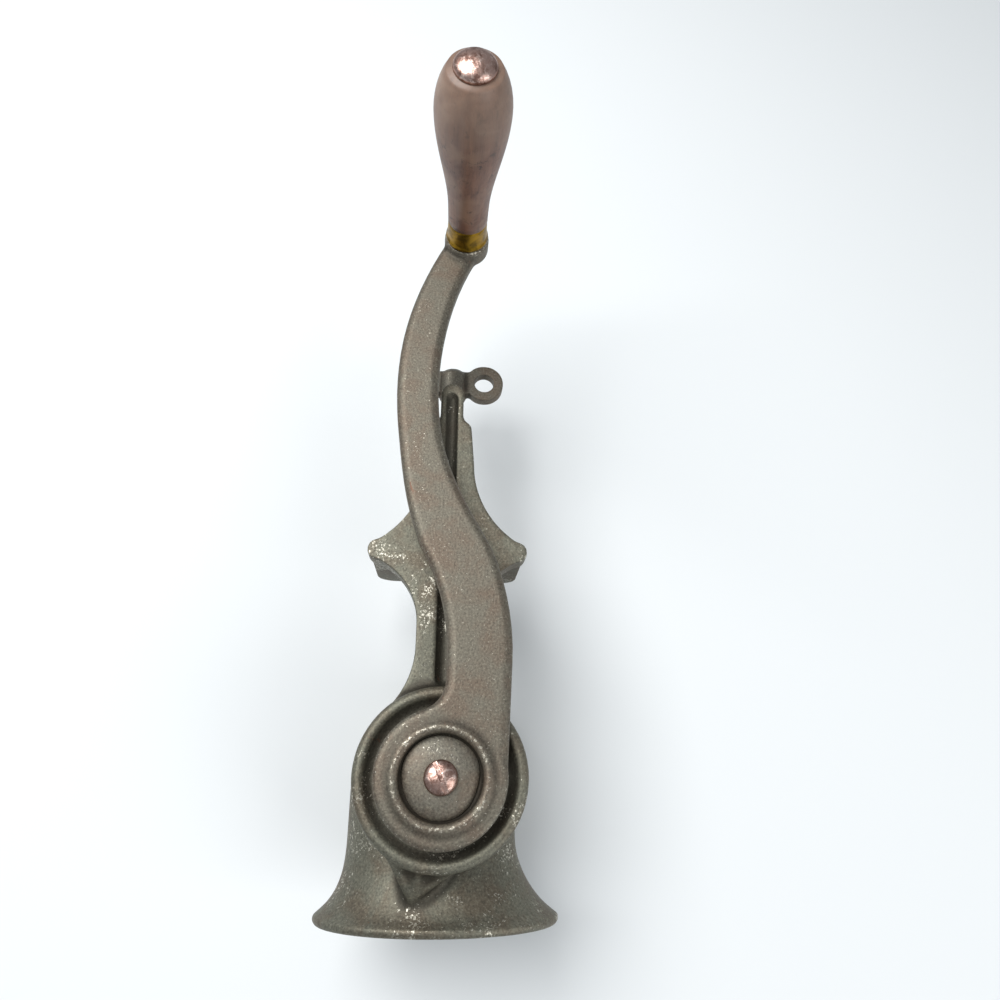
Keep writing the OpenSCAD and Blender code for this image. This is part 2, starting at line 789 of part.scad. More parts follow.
module crank_arm() {
    color(worn_iron)
        difference() {
            union() {
                crank_blade();
                along_shaft()
                    rotate_extrude()
                        union() {
                            polygon([[0, hub_back_y], [hub_r - 0.6, hub_back_y], [hub_r, hub_back_y - 0.6],
                                [hub_r, hub_front_y + 1.6], [hub_r - 0.5, hub_front_y + 0.5],
                                [hub_r - 1.6, hub_front_y], [0, hub_front_y]]);
                            // Raised ring round the recess
                            translate([recess_d / 2 + 1.7, hub_front_y + 0.6])
                                circle(1.7);
                        }
                translate([handle_x, hub_front_y - boss_rise, axis_height - crank_throw])
                    rotate([-90, 0, 0])
                        rotate_extrude()
                            polygon([[0, 0], [boss_d / 2 - 1.4, 0], [boss_d / 2 - 0.4, 0.5],
                                [boss_d / 2, 1.6], [boss_d / 2, arm_t + boss_rise - 0.8],
                                [boss_d / 2 - 0.8, arm_t + boss_rise], [0, arm_t + boss_rise]]);
            }
            along_shaft(hub_front_y - 5)
                cylinder(h = recess_depth + 5, d = recess_d);
            along_shaft(hub_front_y - 5)
                translate([-drive_sq / 2 - 0.05, -drive_sq / 2 - 0.05, 0])
                    cube([drive_sq + 0.1, drive_sq + 0.1, hub_t + 10]);
            translate([handle_x, hub_front_y - boss_rise - 5, axis_height - crank_throw])
                rotate([-90, 0, 0])
                    cylinder(h = arm_t + boss_rise + 10, d = spindle_d + 0.1);
        }
}

// Washer: dished, so that its rim bears on the recess and its middle under the screw
cap_r = recess_d / 2 - 0.8;
dish = 1.6;
dish_t = 1.5;
screw_d = 6;
screw_len = 16;
module crank_washer() {
    color(worn_iron)
        along_shaft(recess_y)
            rotate_extrude()
                polygon([[screw_d / 2 + 0.2, -dish], [cap_r * 0.55, -dish], [cap_r - 1.2, -0.2],
                    [cap_r - 0.6, 0], [cap_r, 0], [cap_r, -dish_t * 0.7], [cap_r - 0.8, -dish_t],
                    [cap_r * 0.55, -dish - dish_t], [screw_d / 2 + 0.2, -dish - dish_t]]);
}

screw_seat_y = recess_y - dish - dish_t;
screw_head_d = 10.8;
screw_head_h = 3.4;
slot_turn = -35;
module crank_screw() {
    color(pink_steel)
        along_shaft(screw_seat_y)
            difference() {
                union() {
                    cylinder(h = screw_len, d = screw_d);
                    rotate_extrude()
                        polygon(concat([[0, 0.01], [screw_head_d / 2, 0.01], [screw_head_d / 2, -0.8]],
                            [for (a = [75:-15:0])
                                [screw_head_d / 2 * sin(a), -0.8 - (screw_head_h - 0.8) * cos(a)]]));
                }
                rotate(slot_turn)
                    translate([-0.7, -10, -screw_head_h - 1])
                        cube([1.4, 20, 2.6]);
            }
}

// Handle: everything on it is drawn along Z from the boss's face to the domed head
boss_face_y = hub_front_y - boss_rise;
module on_handle() {
    translate([handle_x, boss_face_y, axis_height - crank_throw])
        rotate([90, 0, 0])
            children();
}

grip_start = 0.3;
grip_end = grip_start + grip_len;
module handle_spindle() {
    color(pink_steel)
        on_handle()
            rotate_extrude()
                polygon(concat(
                    [[0, -arm_t - boss_rise - 1.4], [spindle_d / 2 + 0.8, -arm_t - boss_rise - 1.2],
                        [spindle_d / 2 + 1.6, -arm_t - boss_rise], [spindle_d / 2, -arm_t - boss_rise],
                        [spindle_d / 2, grip_end + face_play], [head_d / 2 - 0.4, grip_end + face_play],
                        [head_d / 2, grip_end + 0.6]],
                    [for (a = [80:-16:0])
                        [head_d / 2 * sin(a), grip_end + 0.6 + 3.6 * cos(a)]]));
}

// Grip: a waist above the ferrule, a full belly and a round end, as turned on a lathe
function grip_r(t) =
    t < 0.22 ? mix(ferrule_d / 2 - 0.5, waist_d / 2, smooth((t - 0.13) / 0.09)) :
    t < 0.80 ? mix(waist_d / 2, grip_d / 2, smooth((t - 0.22) / 0.58)) :
    grip_d / 2 * sqrt(max(0, 1 - pow((t - 0.80) / 0.36, 2) * 1.7));

module handle_grip() {
    seat_r = ferrule_d / 2 - ferrule_wall;
    color(old_wood)
        on_handle()
            difference() {
                rotate_extrude()
                    polygon(concat([[0, grip_start], [seat_r, grip_start],
                        [seat_r, grip_start + ferrule_len]],
                        [for (i = [0:26])
                            let (t = mix(ferrule_len / grip_len, 1, i / 26))
                            [max(grip_r(t), head_d / 2 + 0.6), grip_start + t * grip_len]],
                        [[0, grip_end]]));
                translate([0, 0, -1])
                    cylinder(h = grip_len + 4, d = spindle_d + 2 * running_gap);
            }
}

module handle_ferrule() {
    r = ferrule_d / 2;
    color(old_brass)
        on_handle()
            rotate_extrude()
                polygon([[r - ferrule_wall, grip_start], [r + 0.4, grip_start], [r + 0.5, grip_start + 0.8],
                    [r, grip_start + 1.8], [r - 0.3, grip_start + ferrule_len - 0.6],
                    [r - 0.6, grip_start + ferrule_len], [r - ferrule_wall, grip_start + ferrule_len]]);
}

// Clamp screw: a plain stem, a two-eyed flat head below and a peened tip in the pad
pad_top = -pad_gap;
pad_bottom = pad_top - pad_t;
tip_d = 6;
tip_head_d = 8.4;
eye_x = eye_span / 2;
neck_h = 10.4;
module clamp_screw() {
    color(worn_iron)
        translate([0, screw_back, 0])
            difference() {
                union() {
                    rotate_extrude()
                        polygon([[0, -eye_drop - 6], [4.2, -eye_drop - 5.6], [5.8, -eye_drop - 3.6],
                            [6, -eye_drop + 5], [5.6, -eye_drop + 7.2], [stem_d / 2, -eye_drop + 8.2],
                            [stem_d / 2, pad_bottom - face_play - 1],
                            [stem_d / 2 - 1, pad_bottom - face_play], [tip_d / 2, pad_bottom - face_play],
                            [tip_d / 2, pad_top - 1.9], [tip_head_d / 2, pad_top - 1.8],
                            [tip_head_d / 2 - 0.4, pad_top - 0.9], [1.5, pad_top - 0.4], [0, pad_top - 0.4]]);
                    front_view(-eye_t / 2, eye_t) {
                        for (s = [-1, 1])
                            translate([s * eye_x, -eye_drop])
                                circle(d = eye_d);
                        translate([-eye_x, -eye_drop - neck_h / 2])
                            square([eye_span, neck_h]);
                    }
                }
                for (s = [-1, 1])
                    translate([s * eye_x, eye_t, -eye_drop])
                        rotate([90, 0, 0])
                            cylinder(h = 2 * eye_t, d = eye_hole_d);
            }
}

module clamp_pad() {
    color(worn_iron)
        translate([0, screw_back, 0])
            difference() {
                rotate_extrude()
                    polygon([[0, pad_bottom], [pad_d / 2 - 3, pad_bottom], [pad_d / 2, pad_top - 2],
                        [pad_d / 2, pad_top], [0, pad_top]]);
                translate([0, 0, pad_bottom - 1])
                    cylinder(h = pad_t + 2, d = tip_d + 2 * running_gap);
                translate([0, 0, pad_top - 2])
                    cylinder(h = 4, d = tip_head_d + 0.6);
            }
}

hopper();
barrel();
clamp_frame();
thrust_washer();
feed_screw();
knife_stud();
cutter_knife();
grinding_plate();
plate_key();
ring_nut();
crank_arm();
crank_washer();
crank_screw();
handle_spindle();
handle_grip();
handle_ferrule();
clamp_screw();
clamp_pad();
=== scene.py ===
"""Old table-clamp meat grinder in tinned cast iron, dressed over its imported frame.

Metres, +Z up to the hopper, crank side towards -Y, origin at the middle of the clamp seat."""
import math

import bmesh
import bpy
import numpy as np
from mathutils import Matrix, Vector
from mathutils.kdtree import KDTree


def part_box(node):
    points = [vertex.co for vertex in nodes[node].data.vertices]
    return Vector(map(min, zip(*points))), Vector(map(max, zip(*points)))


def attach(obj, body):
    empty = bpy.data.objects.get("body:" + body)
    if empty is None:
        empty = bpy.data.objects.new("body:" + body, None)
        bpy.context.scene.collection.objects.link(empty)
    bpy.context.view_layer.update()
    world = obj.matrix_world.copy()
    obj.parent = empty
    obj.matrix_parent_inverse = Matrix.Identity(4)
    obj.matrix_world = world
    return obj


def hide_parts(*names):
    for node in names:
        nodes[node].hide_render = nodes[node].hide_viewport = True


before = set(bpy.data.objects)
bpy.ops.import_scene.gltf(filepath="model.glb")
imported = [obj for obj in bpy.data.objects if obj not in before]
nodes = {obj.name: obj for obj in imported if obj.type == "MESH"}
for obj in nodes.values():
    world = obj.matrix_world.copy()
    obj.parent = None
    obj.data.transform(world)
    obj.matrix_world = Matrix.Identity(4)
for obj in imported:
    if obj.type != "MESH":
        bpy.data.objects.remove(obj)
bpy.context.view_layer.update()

MM = 0.001
SHAFT_Z = 81 * MM


# Mesh work that several pieces share

def add_piece(name, mesh):
    piece = bpy.data.objects.new(name, mesh)
    bpy.context.scene.collection.objects.link(piece)
    return piece


def settled(piece):
    """Turns a piece's live modifiers into its plain mesh."""
    depsgraph = bpy.context.evaluated_depsgraph_get()
    mesh = bpy.data.meshes.new_from_object(piece.evaluated_get(depsgraph))
    piece.modifiers.clear()
    piece.data = mesh
    return piece


def with_modifier(piece, kind, **settings):
    modifier = piece.modifiers.new(kind.lower(), kind)
    for name, value in settings.items():
        setattr(modifier, name, value)
    return settled(piece)


def corners(mesh):
    co = np.empty(len(mesh.vertices) * 3, np.float32)
    mesh.vertices.foreach_get("co", co)
    return co.reshape(-1, 3)


def outward(mesh):
    no = np.empty(len(mesh.vertices) * 3, np.float32)
    mesh.vertex_normals.foreach_get("vector", no)
    return no.reshape(-1, 3)


def swell(piece, depth):
    """Moves a dense skin outwards by depth, or inwards where it is negative."""
    mesh = piece.data
    mesh.vertices.foreach_set("co", (corners(mesh) + outward(mesh) * depth).ravel())
    mesh.update()


def skinned(piece, grain):
    return with_modifier(piece, "REMESH", mode="VOXEL", voxel_size=grain, adaptivity=0.0)


def copy_of(name, *cad_nodes):
    """One merged mesh of CAD nodes, whose own meshes stay as they are."""
    work = bmesh.new()
    for node in cad_nodes:
        work.from_mesh(nodes[node].data)
    bmesh.ops.remove_doubles(work, verts=work.verts, dist=0.002 * MM)
    mesh = bpy.data.meshes.new(name)
    work.to_mesh(mesh)
    work.free()
    mesh.materials.clear()
    return add_piece(name, mesh)


def cast_skin(piece, grain, fillet, passes):
    """Gives a sharp solid the soft corners of a sand casting: inner corners get a fillet, outer ones wear round."""
    skinned(piece, grain)
    if fillet:
        swell(piece, fillet)
        skinned(piece, grain)
        swell(piece, -fillet)
    with_modifier(piece, "SMOOTH", factor=0.5, iterations=passes)
    return piece


def relief(piece, reach):
    """How far each point of a skin stands out of its surroundings, in metres, with the points."""
    mesh = piece.data
    co = corners(mesh).astype(np.float64)
    edges = np.empty(len(mesh.edges) * 2, np.int32)
    mesh.edges.foreach_get("vertices", edges)
    a, b = edges.reshape(-1, 2).T
    count = np.maximum(np.bincount(a, minlength=len(co)) + np.bincount(b, minlength=len(co)), 1)
    soft = co.copy()
    for _ in range(reach):
        total = np.zeros_like(soft)
        for axis in range(3):
            total[:, axis] = (np.bincount(a, soft[b, axis], len(co))
                              + np.bincount(b, soft[a, axis], len(co)))
        soft = 0.4 * soft + 0.6 * total / count[:, None]
    stand = ((co - soft) * outward(mesh)).sum(1)
    for _ in range(3):
        stand = 0.5 * stand + 0.5 * (np.bincount(a, stand[b], len(co))
                                     + np.bincount(b, stand[a], len(co))) / count
    return co, stand


def note_wear(piece, skin, full):
    """Stores wear on what stands out and shelter in what lies back, from 0 to 1, on the piece's points."""
    points, stand = skin
    tree = KDTree(len(points))
    for i, point in enumerate(points):
        tree.insert(point, i)
    tree.balance()
    found = np.array([stand[tree.find(v.co)[1]] for v in piece.data.vertices])
    for name, values in (("wear", found), ("shelter", -found)):
        attribute = piece.data.attributes.new(name, "FLOAT", "POINT")
        attribute.data.foreach_set("value", np.clip(values / full, 0, 1).astype(np.float32))


def thinned(piece, triangles):
    have = sum(len(p.vertices) - 2 for p in piece.data.polygons)
    if have > triangles:
        with_modifier(piece, "DECIMATE", ratio=triangles / have)
    return piece


def cut(piece, cutter):
    with_modifier(piece, "BOOLEAN", operation="DIFFERENCE", solver="MANIFOLD", object=cutter)
    bpy.data.objects.remove(cutter)
    return piece


def smooth_shaded(piece, angle=35):
    piece.data.shade_smooth()
    piece.data.set_sharp_from_angle(angle=math.radians(angle))
    return piece


def turned(name, profile, along, sides=96):
    """A closed lathe shape: profile is (radius, station) in millimetres, along places it as a matrix."""
    work = bmesh.new()
    rings = []
    for radius, station in profile:
        if radius < 1e-6:
            rings.append([work.verts.new((0, 0, station * MM))])
        else:
            rings.append([work.verts.new((radius * MM * math.cos(2 * math.pi * i / sides),
                                          radius * MM * math.sin(2 * math.pi * i / sides),
                                          station * MM)) for i in range(sides)])
    closed = profile[0][0] > 1e-6 or profile[-1][0] > 1e-6
    pairs = list(zip(rings, rings[1:])) + ([(rings[-1], rings[0])] if closed else [])
    for low, high in pairs:
        for i in range(sides):
            j = (i + 1) % sides
            loop = [low[i % len(low)], low[j % len(low)], high[j % len(high)], high[i % len(high)]]
            face = []
            for v in loop:
                if v not in face:
                    face.append(v)
            if len(face) > 2:
                work.faces.new(face)
    bmesh.ops.recalc_face_normals(work, faces=work.faces)
    mesh = bpy.data.meshes.new(name)
    work.to_mesh(mesh)
    work.free()
    mesh.transform(along)
    return add_piece(name, mesh)


# Stations along Y for what turns on the shaft, and out from the boss for what turns on the handle
SHAFT = Matrix.Translation((0, 0, SHAFT_Z)) @ Matrix.Rotation(math.radians(-90), 4, "X")
boss_low, boss_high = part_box("handle_spindle")
HANDLE = (Matrix.Translation(((boss_low.x + boss_high.x) / 2, 0, (boss_low.z + boss_high.z) / 2))
          @ Matrix.Rotation(math.radians(90), 4, "X"))


def rod(name, radius, low, high, along, sides=96):
    return turned(name, [(0, low), (radius, low), (radius, high), (0, high)], along, sides)


# Node trees

def linear(code):
    """An sRGB hex colour as the linear values that a node takes."""
    parts = [int(code[i:i + 2], 16) / 255 for i in (1, 3, 5)]
    return tuple(p / 12.92 if p <= 0.04045 else ((p + 0.055) / 1.055) ** 2.4 for p in parts) + (1.0,)


def put(tree, kind, settings=None, values=None, links=None):
    """Adds one node with its settings, the values of its free sockets, and the sockets that feed it."""
    node = tree.nodes.new(kind)
    for name, value in (settings or {}).items():
        setattr(node, name, value)
    for name, value in (values or {}).items():
        node.inputs[name].default_value = value
    for name, source in (links or {}).items():
        tree.links.new(source, node.inputs[name])
    return node


def new_material(name):
    material = bpy.data.materials.new(name)
    material.use_nodes = True
    material.node_tree.nodes.clear()
    return material, material.node_tree


def noise(tree, place, size_mm, detail=3.0, rough=0.55, warp=0.0):
    """Noise whose lumps are about size_mm across."""
    return put(tree, "ShaderNodeTexNoise", {}, {"Scale": 1 / size_mm, "Detail": detail,
               "Roughness": rough, "Distortion": warp}, {"Vector": place}).outputs["Fac"]


def ramp(tree, source, low, high):
    """0 below low, 1 above high."""
    return put(tree, "ShaderNodeMapRange", {"interpolation_type": "SMOOTHSTEP"},
               {"From Min": low, "From Max": high}, {"Value": source}).outputs["Result"]


def sums(tree, kind, a, b):
    node = put(tree, "ShaderNodeMath", {"operation": kind, "use_clamp": kind == "ADD"})
    for socket, source in zip(node.inputs, (a, b)):
        if isinstance(source, (int, float)):
            socket.default_value = source
        else:
            tree.links.new(source, socket)
    return node.outputs[0]


def blend_colour(tree, amount, under, over):
    node = put(tree, "ShaderNodeMix", {"data_type": "RGBA"})
    tree.links.new(amount, node.inputs[0])
    for socket, source in ((node.inputs[6], under), (node.inputs[7], over)):
        if isinstance(source, str):
            socket.default_value = linear(source)
        else:
            tree.links.new(source, socket)
    return node.outputs[2]


def in_millimetres(tree):
    spot = put(tree, "ShaderNodeTexCoord").outputs["Object"]
    return put(tree, "ShaderNodeMapping", {}, {"Scale": (1000, 1000, 1000)}, {"Vector": spot}).outputs[0]


def tinned_iron(name, grey, brown, speck, tin_cover, rust_cover, metal=0.75, rough=0.5):
    """Grey iron, sand cast, dipped in tin that has mostly worn off.

    The sand leaves lumps of about 0.7 mm, what tin is left glints in flecks and along the edges,
    and bare iron has turned brown with rust where water stood."""
    material, tree = new_material(name)
    place = in_millimetres(tree)
    wear = put(tree, "ShaderNodeAttribute", {"attribute_name": "wear"}).outputs["Fac"]
    shelter = put(tree, "ShaderNodeAttribute", {"attribute_name": "shelter"}).outputs["Fac"]
    sand = noise(tree, place, 0.75, 2.5, 0.6)
    cloud = noise(tree, place, 13, 4, 0.6, 0.4)
    stain = noise(tree, place, 6, 4, 0.65, 0.6)
    flecks = noise(tree, place, 0.9, 3, 0.7)
    patches = noise(tree, place, 17, 3, 0.6, 0.8)
    # Brown and grey drift over the surface and darken in its hollows
    body = blend_colour(tree, ramp(tree, cloud, 0.38, 0.66), grey, brown)
    body = blend_colour(tree, sums(tree, "MULTIPLY", ramp(tree, sand, 0.5, 0.72), 0.4), body, "#96917f")
    body = blend_colour(tree, sums(tree, "MULTIPLY", ramp(tree, sand, 0.5, 0.3), 0.55), body, "#45413a")
    body = blend_colour(tree, sums(tree, "MULTIPLY", shelter, 0.75), body, "#37332c")
    rust = sums(tree, "MULTIPLY", ramp(tree, stain, 0.70 - rust_cover, 0.80 - rust_cover), 0.7)
    body = blend_colour(tree, rust, body, "#6d4634")
    # Tin shows as flecks: more of them on what stands out and inside loose patches
    cover = sums(tree, "ADD", sums(tree, "MULTIPLY", ramp(tree, patches, 0.47, 0.68), tin_cover),
                 sums(tree, "MULTIPLY", ramp(tree, wear, 0.25, 0.95), 0.22))
    glint = ramp(tree, sums(tree, "ADD", flecks, cover), 0.66, 0.76)
    body = blend_colour(tree, sums(tree, "MULTIPLY", glint, 0.8), body, speck)
    dull = sums(tree, "ADD", sums(tree, "MULTIPLY", glint, -0.16), rough)
    dull = sums(tree, "ADD", dull, sums(tree, "MULTIPLY", sand, 0.12))
    lumps = sums(tree, "ADD", sums(tree, "MULTIPLY", sand, 0.10),
                 sums(tree, "MULTIPLY", stain, 0.12))
    bump = put(tree, "ShaderNodeBump", {}, {"Strength": 0.9, "Distance": MM}, {"Height": lumps})
    shader = put(tree, "ShaderNodeBsdfPrincipled", {}, {"Metallic": metal},
                 {"Base Color": body, "Roughness": dull, "Normal": bump.outputs[0]})
    put(tree, "ShaderNodeOutputMaterial", {}, {}, {"Surface": shader.outputs[0]})
    return material


def machined_steel(name, tone, shade):
    """Carbon steel, turned on a lathe and oiled: fine rings 0.5 mm apart round the shaft, a few stains."""
    material, tree = new_material(name)
    spot = put(tree, "ShaderNodeTexCoord").outputs["Object"]
    place = put(tree, "ShaderNodeMapping", {"vector_type": "TEXTURE"},
                {"Location": (0, 0, SHAFT_Z), "Scale": (MM, MM, MM)}, {"Vector": spot}).outputs[0]
    rings = put(tree, "ShaderNodeTexWave", {"wave_type": "RINGS", "rings_direction": "Y"},
                {"Scale": 0.63, "Distortion": 0.6, "Detail": 1.0}, {"Vector": place}).outputs["Fac"]
    stain = noise(tree, place, 7, 4, 0.6, 0.5)
    body = blend_colour(tree, ramp(tree, stain, 0.42, 0.66), tone, shade)
    bump = put(tree, "ShaderNodeBump", {}, {"Strength": 0.5, "Distance": 0.04 * MM}, {"Height": rings})
    dull = sums(tree, "ADD", sums(tree, "MULTIPLY", stain, 0.2), 0.24)
    shader = put(tree, "ShaderNodeBsdfPrincipled", {}, {"Metallic": 1.0},
                 {"Base Color": body, "Roughness": dull, "Normal": bump.outputs[0]})
    put(tree, "ShaderNodeOutputMaterial", {}, {}, {"Surface": shader.outputs[0]})
    return material


def worn_pink_metal(name):
    """Steel with a thin copper-coloured plating: dents with painted highlights, brown between them."""
    material, tree = new_material(name)
    place = in_millimetres(tree)
    dents_and_painted_highlights = noise(tree, place, 1.6, 3, 0.6, 0.5)
    stain = noise(tree, place, 3.4, 4, 0.65, 0.8)
    scratch_place = put(tree, "ShaderNodeMapping", {}, {"Rotation": (0, 0.6, 0), "Scale": (4, 1, 0.35)},
                        {"Vector": place}).outputs[0]
    scratches = noise(tree, scratch_place, 1.1, 2, 0.6)
    body = blend_colour(tree, ramp(tree, stain, 0.40, 0.68), "#c2a195", "#7d5f54")
    # Painted highlight: the dents' peaks are coloured lighter, in place of the light they would catch
    body = blend_colour(tree, ramp(tree, dents_and_painted_highlights, 0.50, 0.68), body, "#dcc3b8")
    body = blend_colour(tree, sums(tree, "MULTIPLY", ramp(tree, scratches, 0.62, 0.7), 0.5), body, "#5c443b")
    dull = sums(tree, "ADD", sums(tree, "MULTIPLY", stain, 0.34), 0.18)
    height = sums(tree, "ADD", sums(tree, "MULTIPLY", dents_and_painted_highlights, 0.16), sums(tree, "MULTIPLY", scratches, 0.03))
    bump = put(tree, "ShaderNodeBump", {}, {"Strength": 0.8, "Distance": MM}, {"Height": height})
    shader = put(tree, "ShaderNodeBsdfPrincipled", {}, {"Metallic": 1.0},
                 {"Base Color": body, "Roughness": dull, "Normal": bump.outputs[0]})
    put(tree, "ShaderNodeOutputMaterial", {}, {}, {"Surface": shader.outputs[0]})
    return material


def tarnished_brass(name):
    """Sheet brass, rolled and never polished: yellow under brown tarnish."""
    material, tree = new_material(name)
    place = in_millimetres(tree)
    stain = noise(tree, place, 3.5, 4, 0.6, 0.4)
    body = blend_colour(tree, ramp(tree, stain, 0.36, 0.66), "#957322", "#5f4a17")
    bump = put(tree, "ShaderNodeBump", {}, {"Strength": 0.4, "Distance": 0.1 * MM}, {"Height": stain})
    dull = sums(tree, "ADD", sums(tree, "MULTIPLY", stain, 0.25), 0.25)
    shader = put(tree, "ShaderNodeBsdfPrincipled", {}, {"Metallic": 1.0},
                 {"Base Color": body, "Roughness": dull, "Normal": bump.outputs[0]})
    put(tree, "ShaderNodeOutputMaterial", {}, {}, {"Surface": shader.outputs[0]})
    return material


def handled_wood(name):
    """Turned beech, its finish gone: dark with hand grease, the grain along the handle 0.6 mm wide."""
    material, tree = new_material(name)
    place = in_millimetres(tree)
    along = put(tree, "ShaderNodeMapping", {}, {"Scale": (1, 0.05, 1)}, {"Vector": place}).outputs[0]
    grain = noise(tree, along, 0.6, 3, 0.6, 0.3)
    broad = noise(tree, along, 3.0, 3, 0.55, 0.6)
    smudge = noise(tree, place, 3.2, 5, 0.7, 0.9)
    cloud = noise(tree, place, 11, 3, 0.5, 0.5)
    body = blend_colour(tree, ramp(tree, broad, 0.35, 0.68), "#6e4a37", "#553629")
    body = blend_colour(tree, sums(tree, "MULTIPLY", ramp(tree, grain, 0.5, 0.7), 0.5), body, "#3c261d")
    body = blend_colour(tree, sums(tree, "MULTIPLY", ramp(tree, cloud, 0.45, 0.7), 0.6), body, "#7d604c")
    body = blend_colour(tree, sums(tree, "MULTIPLY", ramp(tree, smudge, 0.56, 0.68), 0.75), body, "#2d1b15")
    # Painted sheen: the belly's free end is coloured lighter grey where it would catch the light
    y = put(tree, "ShaderNodeSeparateXYZ", {}, {}, {"Vector": place}).outputs["Y"]
    painted_sheen = sums(tree, "MULTIPLY", ramp(tree, y, -88, -112), sums(tree, "ADD", cloud, 0.1))
    body = blend_colour(tree, painted_sheen, body, "#8a7566")
    dull = sums(tree, "ADD", sums(tree, "MULTIPLY", smudge, 0.18), 0.40)
    height = sums(tree, "ADD", sums(tree, "MULTIPLY", grain, 0.06), sums(tree, "MULTIPLY", smudge, 0.06))
    bump = put(tree, "ShaderNodeBump", {}, {"Strength": 0.7, "Distance": MM}, {"Height": height})
    shader = put(tree, "ShaderNodeBsdfPrincipled", {}, {"Coat Weight": 0.12, "Coat Roughness": 0.35},
                 {"Base Color": body, "Roughness": dull, "Normal": bump.outputs[0]})
    put(tree, "ShaderNodeOutputMaterial", {}, {}, {"Surface": shader.outputs[0]})
    return material


body_iron = tinned_iron("tinned_cast_iron", "#6d6c60", "#675f52", "#c4c0b2", 0.16, 0.03)
crank_iron = tinned_iron("worn_crank_iron", "#6c675c", "#6b5f53", "#b9b4a6", 0.05, 0.0)
small_iron = tinned_iron("worn_small_iron", "#6f6b61", "#6d6256", "#bdb8ab", 0.08, 0.02)
steel = machined_steel("machined_steel", "#a9a59c", "#7b756b")
pink_metal = worn_pink_metal("worn_pink_metal")
brass = tarnished_brass("tarnished_brass")
wood = handled_wood("handled_wood")


def finished(piece, material, body, slot, *replaced):
    piece.data.materials.clear()
    piece.data.materials.append(material)
    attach(piece, body)
    if replaced:
        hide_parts(*replaced)
    return piece


# Geometry Nodes trees for what repeats

def tree_inputs(tree, sockets):
    tree.interface.new_socket("Geometry", in_out="INPUT", socket_type="NodeSocketGeometry")
    tree.interface.new_socket("Geometry", in_out="OUTPUT", socket_type="NodeSocketGeometry")
    for name, kind in sockets:
        tree.interface.new_socket(name, in_out="INPUT", socket_type="NodeSocket" + kind)


def make_ring_of_cuts():
    """Cuts a ring of evenly spaced round cutters, parallel to the ring's axis, out of a solid."""
    tree = bpy.data.node_groups.new("ring_of_cuts", "GeometryNodeTree")
    tree_inputs(tree, [("Count", "Int"), ("Ring Radius", "Float"), ("Cutter Radius", "Float"),
                       ("Cutter Sides", "Int"), ("Cutter Length", "Float"), ("Turn", "Float"),
                       ("Middle", "Vector"), ("Finish", "Material")])
    given = put(tree, "NodeGroupInput").outputs
    ring = put(tree, "GeometryNodeMeshCircle", {}, {}, {"Vertices": given["Count"], "Radius": given["Ring Radius"]})
    cutter = put(tree, "GeometryNodeMeshCylinder", {}, {}, {"Vertices": given["Cutter Sides"],
                 "Radius": given["Cutter Radius"], "Depth": given["Cutter Length"]})
    placed = put(tree, "GeometryNodeInstanceOnPoints", {}, {}, {"Points": ring.outputs["Mesh"],
                 "Instance": cutter.outputs["Mesh"]})
    loose = put(tree, "GeometryNodeRealizeInstances", {}, {}, {"Geometry": placed.outputs[0]})
    spun = put(tree, "ShaderNodeCombineXYZ", {}, {"X": math.pi / 2}, {"Y": given["Turn"]})
    stood = put(tree, "GeometryNodeTransform", {}, {}, {"Geometry": loose.outputs[0],
                "Translation": given["Middle"], "Rotation": spun.outputs[0]})
    opened = put(tree, "GeometryNodeMeshBoolean", {"operation": "DIFFERENCE", "solver": "EXACT"}, {},
                 {"Mesh 1": given["Geometry"], "Mesh 2": stood.outputs[0]})
    real = put(tree, "GeometryNodeRealizeInstances", {}, {}, {"Geometry": opened.outputs[0]})
    done = put(tree, "GeometryNodeSetMaterial", {}, {}, {"Geometry": real.outputs[0], "Material": given["Finish"]})
    put(tree, "NodeGroupOutput", {}, {}, {"Geometry": done.outputs[0]})
    return tree


def make_thread():
    """Winds a rounded ridge as a right-handed helix round Z, from the origin up, and adds it to the solid."""
    tree = bpy.data.node_groups.new("thread_ridge", "GeometryNodeTree")
    tree_inputs(tree, [("Thread Radius", "Float"), ("Pitch", "Float"), ("Turns", "Float"),
                       ("Ridge", "Float"), ("Start", "Vector"), ("Lean", "Vector"), ("Finish", "Material")])
    given = put(tree, "NodeGroupInput").outputs
    height = put(tree, "ShaderNodeMath", {"operation": "MULTIPLY"}, {}, {0: given["Pitch"], 1: given["Turns"]})
    line = put(tree, "GeometryNodeCurveSpiral", {}, {"Resolution": 48}, {"Rotations": given["Turns"],
               "Start Radius": given["Thread Radius"], "End Radius": given["Thread Radius"],
               "Height": height.outputs[0]})
    profile = put(tree, "GeometryNodeCurvePrimitiveCircle", {}, {"Resolution": 8}, {"Radius": given["Ridge"]})
    ridge = put(tree, "GeometryNodeCurveToMesh", {}, {"Fill Caps": True},
                {"Curve": line.outputs[0], "Profile Curve": profile.outputs[0]})
    stood = put(tree, "GeometryNodeTransform", {}, {}, {"Geometry": ridge.outputs[0],
                "Translation": given["Start"], "Rotation": given["Lean"]})
    both = put(tree, "GeometryNodeJoinGeometry")
    for source in (given["Geometry"], stood.outputs[0]):
        tree.links.new(source, both.inputs[0])
    real = put(tree, "GeometryNodeRealizeInstances", {}, {}, {"Geometry": both.outputs[0]})
    done = put(tree, "GeometryNodeSetMaterial", {}, {}, {"Geometry": real.outputs[0], "Material": given["Finish"]})
    put(tree, "NodeGroupOutput", {}, {}, {"Geometry": done.outputs[0]})
    return tree


def grown(piece, tree, **sizes):
    """Runs a tree on a piece and keeps the result as its plain mesh."""
    modifier = piece.modifiers.new(tree.name, "NODES")
    modifier.node_group = tree
    sockets = {s.name: s.identifier for s in tree.interface.items_tree if s.in_out == "INPUT"}
    for name, value in sizes.items():
        modifier[sockets[name.replace("_", " ")]] = value
    return settled(piece)


ring_of_cuts = make_ring_of_cuts()
thread_ridge = make_thread()


